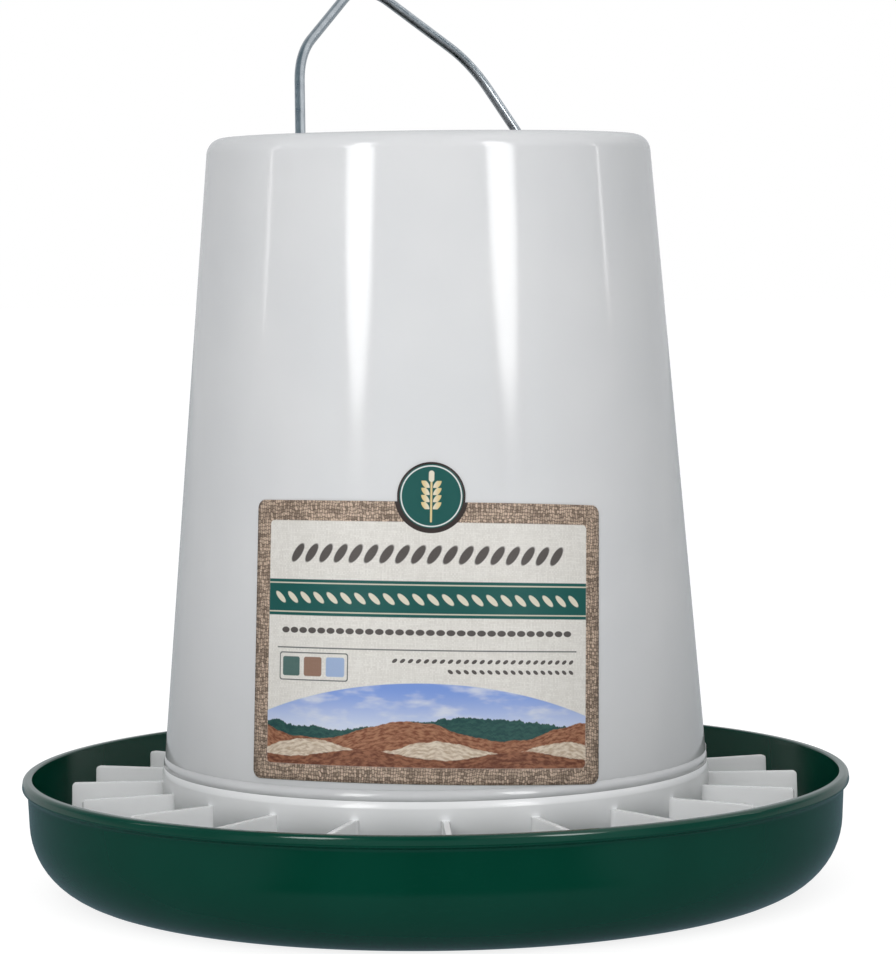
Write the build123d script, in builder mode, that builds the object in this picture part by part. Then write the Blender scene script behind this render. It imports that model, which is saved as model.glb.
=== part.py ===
from build123d import *
from math import asin, atan2, cos, degrees, hypot, radians, sin
import os

# Hanging poultry feeder: an open-ended tapered hopper stands on a ring of radial
# feed-saver fins, the ring twist-locks into a round pan, and a wire bail hangs it all.
# Frame: origin at the centre of the pan's underside, +Z up, the label faces -Y. Millimetres.

os.makedirs("parts", exist_ok=True)

# Pan
pan_wall = 2.2
pan_rim_radius = 153.9
pan_wall_lean = 1.7
pan_corner_round = 28.0
pan_height = 44.5
pan_lip_overhang = 2.1
pan_lip_inset = 1.8
pan_lip_depth = 6.0
pan_lip_round = 1.7
pan_lip_under_break = 0.8
pan_rim_edge_break = 0.6

# Hollow feed cone in the middle of the pan
cone_base_radius = 76.0
cone_height = 50.0
cone_tip_round = 14.0
cone_foot_round = 5.0

# Hopper
hopper_wall = 2.0
hopper_base_radius = 102.3
hopper_top_radius = 82.6
hopper_foot_height = 2.5
hopper_top_height = 282.8
hopper_bottom_height = 47.2
hopper_bead_proud = 0.3
hopper_bead_height = 2.2
hopper_bead_round = 0.8
hopper_foot_break = 0.5
hopper_flare_height = 0.8
hopper_flare_round = 1.5
hopper_shoulder_round = 6.5
mouth_turn_in = 7.1
mouth_edge_break = 0.6

# Bail and the two sockets that hold it inside the hopper's mouth
wire_radius = 1.875
wire_end_break = 0.5
bail_yaw = 53.0
bail_lean = 23.4
bail_pivot_below_top = 13.5
bail_pivot_inset = 5.74
bail_knee_offset = 53.0
bail_knee_height = 47.0
bail_knee_bend = 42.0
bail_peak_height = 80.0
bail_crown_bend = 26.0
bail_hook_bend = 3.5
bail_hook_clearance = 0.4
bail_end_clearance = 0.3
socket_width = 13.0
socket_below_pivot = 7.5
socket_depth = 3.8
socket_clearance = 0.08
socket_corner_round = 3.0

# Fin ring: hub, radial fins and the spigot that plugs into the hopper
fin_count = 20
fin_phase = 1.85
fin_thickness = 2.0
fin_root_round = 4.0
fin_drop = 6.2
fin_floor_gap = 5.8
fin_tip_gap = 16.5
fin_tip_draft = 0.6
fin_tip_round = 1.4
fin_heel = 9.0
fin_heel_round = 4.0
hub_setback = 0.6
hub_wall = 2.4
hub_floor_gap = 21.8
hub_shoulder_round = 1.2
spigot_wall = 2.2
spigot_height = 11.0
spigot_lead = 0.8
spigot_clearance = 0.15
snap_height = 6.0
snap_radius = 0.6
snap_clearance = 0.15

# Twist lock: feet under the hub turn in below keepers on the pan's floor
lock_count = 4
leg_span = 12.0
foot_reach = 10.0
foot_thickness = 2.2
lock_clearance = 0.3
keeper_post = 2.6
keeper_overlap = 5.0
keeper_roof = 2.4
keeper_stop = 2.5

# Label: a film on the cone, with a round tab above its top edge
label_width = 131.6
label_height = 99.1
label_rise = 55.9
label_shift = -3.2
label_tilt = -1.55
label_corner = 3.2
label_thickness = 0.2
label_gap = 0.12
tab_radius = 12.0
tab_shift = 1.4
tab_rise = 2.0

# How close a corner lies to the point that names it
nearness = 0.01

# Sizes that follow from the ones above
pan_shoulder_radius = pan_rim_radius - pan_wall_lean
pan_foot_radius = pan_shoulder_radius - pan_corner_round
pan_lip_radius = pan_rim_radius + pan_lip_overhang
pan_lip_inner_radius = pan_rim_radius - pan_lip_inset
hopper_base_height = hopper_bottom_height + hopper_foot_height
hopper_bead_radius = hopper_base_radius + hopper_bead_proud
mouth_radius = hopper_top_radius - mouth_turn_in
bail_pivot_height = hopper_top_height - bail_pivot_below_top
fin_top = hopper_bottom_height - fin_drop
fin_bottom = pan_wall + fin_floor_gap
fin_tip_radius = pan_rim_radius - fin_tip_gap
hub_radius = hopper_base_radius - hub_setback
hub_bottom = pan_wall + hub_floor_gap
label_centre_height = hopper_bottom_height + label_rise


def hopper_radius(height):
    """Outer radius of the hopper's straight cone at a height."""
    share = (height - hopper_base_height) / (hopper_top_height - hopper_base_height)
    return hopper_base_radius + (hopper_top_radius - hopper_base_radius) * share


def corners_at(sketch, *points):
    """The sketch's vertices that lie at the given points of its plane."""
    found = []
    for x, y in points:
        found += [v for v in sketch.vertices() if hypot(v.X - x, v.Y - y) < nearness]
    return found


def ring_sector(inner, outer, middle, span):
    """A piece of a flat ring, centred on an angle in degrees."""
    with BuildSketch() as sector:
        with BuildLine():
            outside = CenterArc((0, 0), outer, middle - span / 2, span)
            inside = CenterArc((0, 0), inner, middle - span / 2, span)
            Line(outside @ 0, inside @ 0)
            Line(outside @ 1, inside @ 1)
        make_face()
    return sector.sketch


# Pan: one moulded bowl with a rolled lip, a flat floor and a hollow feed cone
lip_underside = pan_height - pan_lip_depth
tip_centre = cone_height - cone_tip_round
tip_reach = hypot(cone_base_radius, tip_centre - pan_wall)
cone_slope = atan2(tip_centre - pan_wall, cone_base_radius) + asin(cone_tip_round / tip_reach)
cone_tangent = (cone_tip_round * sin(cone_slope), tip_centre + cone_tip_round * cos(cone_slope))
under_round = cone_tip_round - pan_wall
under_tangent = (under_round * sin(cone_slope), tip_centre + under_round * cos(cone_slope))
under_radius = under_tangent[0] + under_tangent[1] * cos(cone_slope) / sin(cone_slope)

with BuildPart() as feed_pan:
    with BuildSketch(Plane.XZ) as pan_section:
        with BuildLine():
            Line((under_radius, 0), (pan_foot_radius, 0))
            CenterArc((pan_foot_radius, pan_corner_round), pan_corner_round, 270, 90)
            Polyline(
                (pan_shoulder_radius, pan_corner_round),
                (pan_rim_radius, lip_underside),
                (pan_lip_radius, lip_underside),
                (pan_lip_radius, pan_height),
                (pan_lip_inner_radius, pan_height),
                (pan_shoulder_radius - pan_wall, pan_corner_round),
            )
            CenterArc((pan_foot_radius, pan_corner_round), pan_corner_round - pan_wall, 270, 90)
            Polyline((pan_foot_radius, pan_wall), (cone_base_radius, pan_wall), cone_tangent)
            RadiusArc(cone_tangent, (0, cone_height), -cone_tip_round)
            Line((0, cone_height), (0, cone_height - pan_wall))
            RadiusArc((0, cone_height - pan_wall), under_tangent, under_round)
            Line(under_tangent, (under_radius, 0))
        make_face()
        fillet(corners_at(pan_section, (pan_lip_radius, pan_height)), pan_lip_round)
        chamfer(corners_at(pan_section, (pan_lip_radius, lip_underside)), pan_lip_under_break)
        chamfer(corners_at(pan_section, (pan_lip_inner_radius, pan_height)), pan_rim_edge_break)
        fillet(corners_at(pan_section, (cone_base_radius, pan_wall)), cone_foot_round)
    revolve(axis=Axis.Z)

# Hopper: one tapered moulding, open at both ends, with a turned-in mouth
bead_top = hopper_bottom_height + hopper_bead_height
flare_top = bead_top + hopper_flare_height
under_mouth = hopper_top_height - hopper_wall
slant = atan2(hopper_base_radius - hopper_top_radius, hopper_top_height - hopper_base_height)

with BuildPart() as hopper_form:
    with BuildSketch(Plane.XZ) as form_section:
        with BuildLine():
            Polyline(
                (0, hopper_bottom_height),
                (hopper_bead_radius, hopper_bottom_height),
                (hopper_bead_radius, bead_top),
                (hopper_radius(flare_top), flare_top),
                (hopper_radius(hopper_top_height), hopper_top_height),
                (0, hopper_top_height),
                close=True,
            )
        make_face()
        chamfer(corners_at(form_section, (hopper_bead_radius, hopper_bottom_height)), hopper_foot_break)
        fillet(corners_at(form_section, (hopper_bead_radius, bead_top)), hopper_bead_round)
        fillet(
            corners_at(form_section, (hopper_radius(flare_top), flare_top)),
            hopper_flare_round,
        )
        fillet(
            corners_at(form_section, (hopper_radius(hopper_top_height), hopper_top_height)),
            hopper_shoulder_round,
        )
    revolve(axis=Axis.Z)

# Bail geometry: the wire lies in a plane that turns about the line through both sockets
bail_pivot_radius = hopper_radius(bail_pivot_height) - hopper_wall - bail_pivot_inset
bail_axis = Vector(cos(radians(bail_yaw)), sin(radians(bail_yaw)), 0)
bail_pivot = Vector(0, 0, bail_pivot_height)
bail_normal = Vector(
    cos(radians(bail_lean)) * sin(radians(bail_yaw)),
    -cos(radians(bail_lean)) * cos(radians(bail_yaw)),
    sin(radians(bail_lean)),
)
hook_turn = atan2(bail_knee_height, bail_pivot_radius - bail_knee_offset)
hook_reach = bail_hook_bend * (1 - cos(hook_turn)) / sin(hook_turn)
socket_face = bail_pivot_radius + hook_reach + bail_hook_clearance
socket_height = under_mouth - bail_pivot_height + socket_below_pivot + hopper_wall / 2

with BuildPart() as sockets:
    for side in (bail_yaw, bail_yaw + 180):
        outward = Vector(cos(radians(side)), sin(radians(side)), 0)
        across = Vector(-sin(radians(side)), cos(radians(side)), 0)
        face_plane = Plane(origin=bail_pivot + outward * socket_face, x_dir=across, z_dir=outward)
        with BuildSketch(face_plane) as socket_face_sketch:
            with Locations((0, -socket_below_pivot)):
                Rectangle(socket_width, socket_height, align=(Align.CENTER, Align.MIN))
            fillet(
                socket_face_sketch.vertices().group_by(Axis.Y)[0],
                socket_corner_round,
            )
        extrude(amount=hopper_base_radius - socket_face)
    add(hopper_form.part, mode=Mode.INTERSECT)

with BuildPart() as hopper:
    add(hopper_form.part)
    with BuildSketch(Plane.XZ) as cavity_section:
        with BuildLine():
            Polyline(
                (0, hopper_bottom_height),
                (hopper_radius(hopper_bottom_height) - hopper_wall, hopper_bottom_height),
                (hopper_radius(under_mouth) - hopper_wall, under_mouth),
                (mouth_radius, under_mouth),
                (mouth_radius, hopper_top_height),
                (0, hopper_top_height),
                close=True,
            )
        make_face()
        fillet(
            corners_at(cavity_section, (hopper_radius(under_mouth) - hopper_wall, under_mouth)),
            hopper_shoulder_round - hopper_wall,
        )
    revolve(axis=Axis.Z, mode=Mode.SUBTRACT)
    mouth_edges = hopper.edges().filter_by(GeomType.CIRCLE)
    chamfer(mouth_edges.filter_by(lambda e: abs(e.radius - mouth_radius) < nearness), mouth_edge_break)
    add(sockets.part)
    for side in (bail_yaw, bail_yaw + 180):
        outward = Vector(cos(radians(side)), sin(radians(side)), 0)
        with BuildSketch(Plane(origin=bail_pivot + outward * bail_pivot_radius, z_dir=outward)):
            Circle(wire_radius + socket_clearance)
        extrude(amount=socket_face + socket_depth - bail_pivot_radius, mode=Mode.SUBTRACT)
    groove_height = hopper_bottom_height + snap_height
    with BuildSketch(Plane.XZ):
        with Locations((hopper_radius(groove_height) - hopper_wall, groove_height)):
            RegularPolygon(snap_radius + snap_clearance, 4)
    revolve(axis=Axis.Z, mode=Mode.SUBTRACT)

# Bail: one bent wire, its two ends hooked outward into the sockets
wire_end = socket_face + socket_depth - bail_end_clearance

with BuildPart() as bail:
    with BuildLine(Plane(origin=bail_pivot, x_dir=bail_axis, z_dir=bail_normal)) as wire:
        FilletPolyline(
            (wire_end, 0),
            (bail_pivot_radius, 0),
            (bail_knee_offset, bail_knee_height),
            (0, bail_peak_height),
            (-bail_knee_offset, bail_knee_height),
            (-bail_pivot_radius, 0),
            (-wire_end, 0),
            radius=[bail_hook_bend, bail_knee_bend, bail_crown_bend, bail_knee_bend, bail_hook_bend],
        )
    with BuildSketch(Plane(origin=wire.line @ 0, z_dir=wire.line % 0)):
        Circle(wire_radius)
    sweep(path=wire.line)
    wire_ends = bail.faces().filter_by(GeomType.PLANE)
    chamfer(wire_ends.edges(), wire_end_break)

# Fin ring: plan of the hub and fins, cut to the fins' side view, then the hub's own section
hub_inner = hub_radius - hub_wall
hub_top = hopper_bottom_height
spigot_top = hub_top + spigot_height
spigot_base_radius = hopper_radius(hub_top) - hopper_wall - spigot_clearance
spigot_top_radius = hopper_radius(spigot_top) - hopper_wall - spigot_clearance
fin_foot_radius = fin_tip_radius + fin_tip_draft
foot_bottom = pan_wall + lock_clearance
leg_angles = [fin_phase + 180 / fin_count + 360 / lock_count * k for k in range(lock_count)]

with BuildPart() as fin_ring:
    with BuildSketch(Plane.XY.offset(fin_bottom)) as fin_plan:
        Circle(hub_radius)
        with PolarLocations(0, fin_count, start_angle=fin_phase):
            Rectangle(fin_foot_radius, fin_thickness, align=(Align.MIN, Align.CENTER))
        roots = fin_plan.vertices().filter_by(
            lambda v: abs(hypot(v.X, v.Y) - hub_radius) < nearness and abs(v.Y) > nearness
        )
        fillet(roots, fin_root_round)
        Circle(hub_inner, mode=Mode.SUBTRACT)
    extrude(amount=fin_top - fin_bottom)
    with BuildSketch(Plane.XZ) as fin_side:
        with BuildLine():
            Polyline(
                (0, fin_bottom),
                (fin_foot_radius - fin_heel, fin_bottom),
                (fin_foot_radius, fin_bottom + fin_heel),
                (fin_tip_radius, fin_top),
                (0, fin_top),
                close=True,
            )
        make_face()
        fillet(corners_at(fin_side, (fin_tip_radius, fin_top)), fin_tip_round)
        fillet(
            corners_at(
                fin_side,
                (fin_foot_radius, fin_bottom + fin_heel),
                (fin_foot_radius - fin_heel, fin_bottom),
            ),
            fin_heel_round,
        )
    revolve(axis=Axis.Z, mode=Mode.INTERSECT)
    with BuildSketch(Plane.XY.offset(fin_bottom)):
        Circle(hub_radius)
    extrude(amount=hub_bottom - fin_bottom, mode=Mode.SUBTRACT)
    with BuildSketch(Plane.XZ) as hub_section:
        with BuildLine():
            Polyline(
                (hub_inner, hub_bottom),
                (hub_radius, hub_bottom),
                (hub_radius, hub_top),
                (spigot_base_radius, hub_top),
                (spigot_top_radius, spigot_top),
                (spigot_top_radius - spigot_wall, spigot_top),
                (spigot_base_radius - spigot_wall, hub_top),
                (hub_inner, hub_top - hub_wall),
                close=True,
            )
        make_face()
        fillet(corners_at(hub_section, (hub_radius, hub_top)), hub_shoulder_round)
        chamfer(corners_at(hub_section, (spigot_top_radius, spigot_top)), spigot_lead)
    revolve(axis=Axis.Z)
    snap_centre = hub_top + snap_height
    with BuildSketch(Plane.XZ):
        with Locations((hopper_radius(snap_centre) - hopper_wall - spigot_clearance, snap_centre)):
            RegularPolygon(snap_radius, 4)
    revolve(axis=Axis.Z)
    with BuildSketch(Plane.XY.offset(foot_bottom)):
        for angle in leg_angles:
            add(ring_sector(hub_inner, hub_radius, angle, leg_span))
    extrude(amount=hub_bottom - foot_bottom)
    with BuildSketch(Plane.XY.offset(foot_bottom)):
        for angle in leg_angles:
            add(ring_sector(hub_inner - foot_reach, hub_radius, angle, leg_span))
    extrude(amount=foot_thickness)

# Keepers on the pan's floor: a post inside each foot, a roof over it and a stop at one end
foot_inner = hub_inner - foot_reach
post_outer = foot_inner - lock_clearance
post_inner = post_outer - keeper_post
roof_outer = foot_inner + keeper_overlap
roof_bottom = foot_bottom + foot_thickness + lock_clearance
keeper_top = roof_bottom + keeper_roof
clear_angle = degrees(lock_clearance / foot_inner)
stop_angle = degrees(keeper_stop / foot_inner)

with BuildPart() as keepers:
    with BuildSketch(Plane.XY.offset(pan_wall / 2)):
        for angle in leg_angles:
            add(ring_sector(post_inner, post_outer, angle, leg_span))
            stop_middle = angle - leg_span / 2 - clear_angle - stop_angle / 2
            add(ring_sector(post_inner, roof_outer, stop_middle, stop_angle))
    extrude(amount=keeper_top - pan_wall / 2)
    with BuildSketch(Plane.XY.offset(roof_bottom)):
        for angle in leg_angles:
            roof_span = leg_span + clear_angle
            add(ring_sector(post_inner, roof_outer, angle - clear_angle / 2, roof_span))
    extrude(amount=keeper_roof)

with BuildPart() as pan_with_keepers:
    add(feed_pan.part)
    add(keepers.part)

# Label: the flat film is laid on the unrolled cone, which gives its outline as seen from -Y
cone_sine = sin(slant)
apex_distance = hopper_radius(label_centre_height) / cone_sine


def on_cone(across, up):
    """Where a point of the flat label lies on the cone, as seen from -Y: (x, z)."""
    turn = radians(label_tilt)
    flat_x = label_shift + across * cos(turn) - up * sin(turn)
    flat_y = across * sin(turn) + up * cos(turn)
    azimuth = atan2(flat_x, apex_distance - flat_y) / cone_sine
    radius = hypot(flat_x, apex_distance - flat_y) * cone_sine
    fall = (hopper_base_radius - radius) / (hopper_base_radius - hopper_top_radius)
    height = hopper_base_height + fall * (hopper_top_height - hopper_base_height)
    return (radius * sin(azimuth), height)


half_width = label_width / 2
half_height = label_height / 2
film_inner = label_gap / cos(slant)
film_outer = film_inner + label_thickness / cos(slant)
film_low = label_centre_height - label_height
film_high = label_centre_height + label_height

with BuildPart() as label:
    with BuildSketch(Plane.XZ):
        with BuildLine():
            Polyline(
                (hopper_radius(film_low) + film_inner, film_low),
                (hopper_radius(film_low) + film_outer, film_low),
                (hopper_radius(film_high) + film_outer, film_high),
                (hopper_radius(film_high) + film_inner, film_high),
                close=True,
            )
        make_face()
    revolve(axis=Axis.Z)
    with BuildSketch(Plane.XZ) as film_outline:
        with BuildLine():
            ThreePointArc(
                on_cone(-half_width, -half_height),
                on_cone(0, -half_height),
                on_cone(half_width, -half_height),
            )
            Line(on_cone(half_width, -half_height), on_cone(half_width, half_height))
            ThreePointArc(
                on_cone(half_width, half_height),
                on_cone(0, half_height),
                on_cone(-half_width, half_height),
            )
            Line(on_cone(-half_width, half_height), on_cone(-half_width, -half_height))
        make_face()
        fillet(film_outline.vertices(), label_corner)
        with Locations(on_cone(tab_shift, half_height + tab_rise)):
            Circle(tab_radius)
    extrude(amount=hopper_bead_radius + hopper_wall, mode=Mode.INTERSECT)

pan_with_keepers.part.label = "feed_pan"
hopper.part.label = "hopper"
fin_ring.part.label = "fin_ring"
bail.part.label = "bail"
label.part.label = "label"

export_step(pan_with_keepers.part, "parts/feed_pan.step")
export_step(hopper.part, "parts/hopper.step")
export_step(fin_ring.part, "parts/fin_ring.step")
export_step(bail.part, "parts/bail.step")
export_step(label.part, "parts/label.step")
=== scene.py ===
import logging
from dataclasses import dataclass, field
from enum import Enum
from math import radians

import bpy
import numpy as np
from mathutils import Matrix, Vector


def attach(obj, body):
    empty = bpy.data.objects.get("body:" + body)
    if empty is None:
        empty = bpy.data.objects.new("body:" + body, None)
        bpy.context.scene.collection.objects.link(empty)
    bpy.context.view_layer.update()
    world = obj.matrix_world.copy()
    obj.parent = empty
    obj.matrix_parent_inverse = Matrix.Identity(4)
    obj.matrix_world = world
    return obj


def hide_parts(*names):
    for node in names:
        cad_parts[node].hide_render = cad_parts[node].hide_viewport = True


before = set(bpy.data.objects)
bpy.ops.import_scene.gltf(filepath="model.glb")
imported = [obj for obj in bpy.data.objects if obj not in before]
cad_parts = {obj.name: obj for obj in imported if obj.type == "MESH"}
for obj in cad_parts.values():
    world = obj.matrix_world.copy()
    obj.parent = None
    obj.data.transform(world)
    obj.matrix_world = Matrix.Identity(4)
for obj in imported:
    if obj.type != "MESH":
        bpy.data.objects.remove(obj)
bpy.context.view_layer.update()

# Hanging poultry feeder: a milky tapered hopper on a ring of feed-saver fins, a dark
# green pan, a printed film on the hopper and a bent wire bail. Metres, +Z up, the film
# faces -Y, origin at the centre of the pan's underside.

MM = 0.001
AROUND = 540  # steps around the axis of every spun piece
log = logging.getLogger("feeder")


class Op(Enum):
    """The sums that a graph's math node can do."""

    ADD = "ADD"
    SUBTRACT = "SUBTRACT"
    MULTIPLY = "MULTIPLY"
    DIVIDE = "DIVIDE"
    MAXIMUM = "MAXIMUM"
    MINIMUM = "MINIMUM"
    ABSOLUTE = "ABSOLUTE"
    FLOOR = "FLOOR"
    SINE = "SINE"
    SQRT = "SQRT"
    WRAP = "WRAP"
    LESS = "LESS_THAN"


class Side(Enum):
    """The side of the camera on which a lamp stands."""

    LEFT = -1
    RIGHT = 1


Socket = bpy.types.NodeSocket


@dataclass
class Graph:
    """Adds nodes to one node tree, so that a pattern reads as a formula."""

    tree: bpy.types.NodeTree

    def add(self, kind: str, **settings: object) -> bpy.types.Node:
        """Add one node.

        Args:
            kind: the node's type name.
            settings: properties to set on it.

        Returns:
            The new node.
        """
        node = self.tree.nodes.new(kind)
        for name, value in settings.items():
            setattr(node, name, value)
        return node

    def feed(self, socket: Socket, value: object) -> None:
        """Link a socket to an input, or write a plain value into it."""
        if isinstance(value, bpy.types.NodeSocket):
            self.tree.links.new(value, socket)
        elif hasattr(socket.default_value, "__len__") and len(socket.default_value) == 4:
            socket.default_value = (*tuple(value)[:3], 1.0)
        else:
            socket.default_value = value

    def calc(self, op: Op, a: object, b: object = None, c: object = None, clamp: bool = False) -> Socket:
        """One sum of up to three values.

        Args:
            op: the sum.
            a: the first value or socket.
            b: the second one, where the sum has it.
            c: the third one, where the sum has it.
            clamp: whether the result is kept from 0 to 1.

        Returns:
            The socket of the result.
        """
        node = self.add("ShaderNodeMath", operation=op.value, use_clamp=clamp)
        for socket, value in zip(node.inputs, (a, b, c)):
            if value is not None:
                self.feed(socket, value)
        return node.outputs[0]

    def split(self, vector: Socket) -> tuple[Socket, Socket, Socket]:
        """The three coordinates of a vector."""
        node = self.add("ShaderNodeSeparateXYZ")
        self.feed(node.inputs[0], vector)
        return node.outputs[0], node.outputs[1], node.outputs[2]

    def join(self, x: object, y: object, z: object = 0.0) -> Socket:
        """A vector of three coordinates."""
        node = self.add("ShaderNodeCombineXYZ")
        for socket, value in zip(node.inputs, (x, y, z)):
            self.feed(socket, value)
        return node.outputs[0]

    def ramp(self, value: object, low: object, high: object,
             start: object = 0.0, end: object = 1.0) -> Socket:
        """Carry a value smoothly from one range to another.

        Args:
            value: the value or socket.
            low: the value that gives start.
            high: the value that gives end.
            start: the result at low and beyond it.
            end: the result at high and beyond it.

        Returns:
            The socket of the result.
        """
        node = self.add("ShaderNodeMapRange", interpolation_type="SMOOTHSTEP", clamp=True)
        for socket, number in zip(node.inputs, (value, low, high, start, end)):
            self.feed(socket, number)
        return node.outputs[0]

    def blend(self, share: object, under: object, over: object) -> Socket:
        """Two colours mixed.

        Args:
            share: how much of the second colour shows.
            under: the first colour or socket.
            over: the second colour or socket.

        Returns:
            The socket of the mixed colour.
        """
        node = self.add("ShaderNodeMix", data_type="RGBA")
        self.feed(node.inputs["Factor"], share)
        self.feed(node.inputs[6], under)
        self.feed(node.inputs[7], over)
        return node.outputs[2]

    def scaled(self, vector: object, factors: object) -> Socket:
        """A vector times three factors."""
        node = self.add("ShaderNodeVectorMath", operation="MULTIPLY")
        self.feed(node.inputs[0], vector)
        self.feed(node.inputs[1], factors)
        return node.outputs[0]

    def noise(self, vector: object, scale: object, detail: float = 2.0, rough: float = 0.5) -> Socket:
        """Smooth noise from 0 to 1 at a vector."""
        node = self.add("ShaderNodeTexNoise", noise_dimensions="3D")
        self.feed(node.inputs["Vector"], vector)
        self.feed(node.inputs["Scale"], scale)
        node.inputs["Detail"].default_value = detail
        node.inputs["Roughness"].default_value = rough
        return node.outputs["Fac"]

    def place(self, group: bpy.types.NodeTree, **inputs: object) -> bpy.types.Node:
        """Place a shared group with its own values, by the names of its inputs."""
        node = self.add("ShaderNodeGroup", node_tree=group)
        for name, value in inputs.items():
            self.feed(node.inputs[name], value)
        return node


def new_group(name: str, takes: dict[str, str],
              gives: dict[str, str]) -> tuple[Graph, dict[str, Socket], bpy.types.Node]:
    """Start a shader node group.

    Args:
        name: the group's name.
        takes: input names with their socket types.
        gives: output names with their socket types.

    Returns:
        The group's graph, its input sockets by name and its output node.
    """
    tree = bpy.data.node_groups.new(name, "ShaderNodeTree")
    for key, kind in takes.items():
        tree.interface.new_socket(key, in_out="INPUT", socket_type=kind)
    for key, kind in gives.items():
        tree.interface.new_socket(key, in_out="OUTPUT", socket_type=kind)
    graph = Graph(tree)
    entry = graph.add("NodeGroupInput")
    leave = graph.add("NodeGroupOutput")
    return graph, {key: entry.outputs[key] for key in takes}, leave


NUMBER = "NodeSocketFloat"
VECTOR = "NodeSocketVector"


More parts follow.
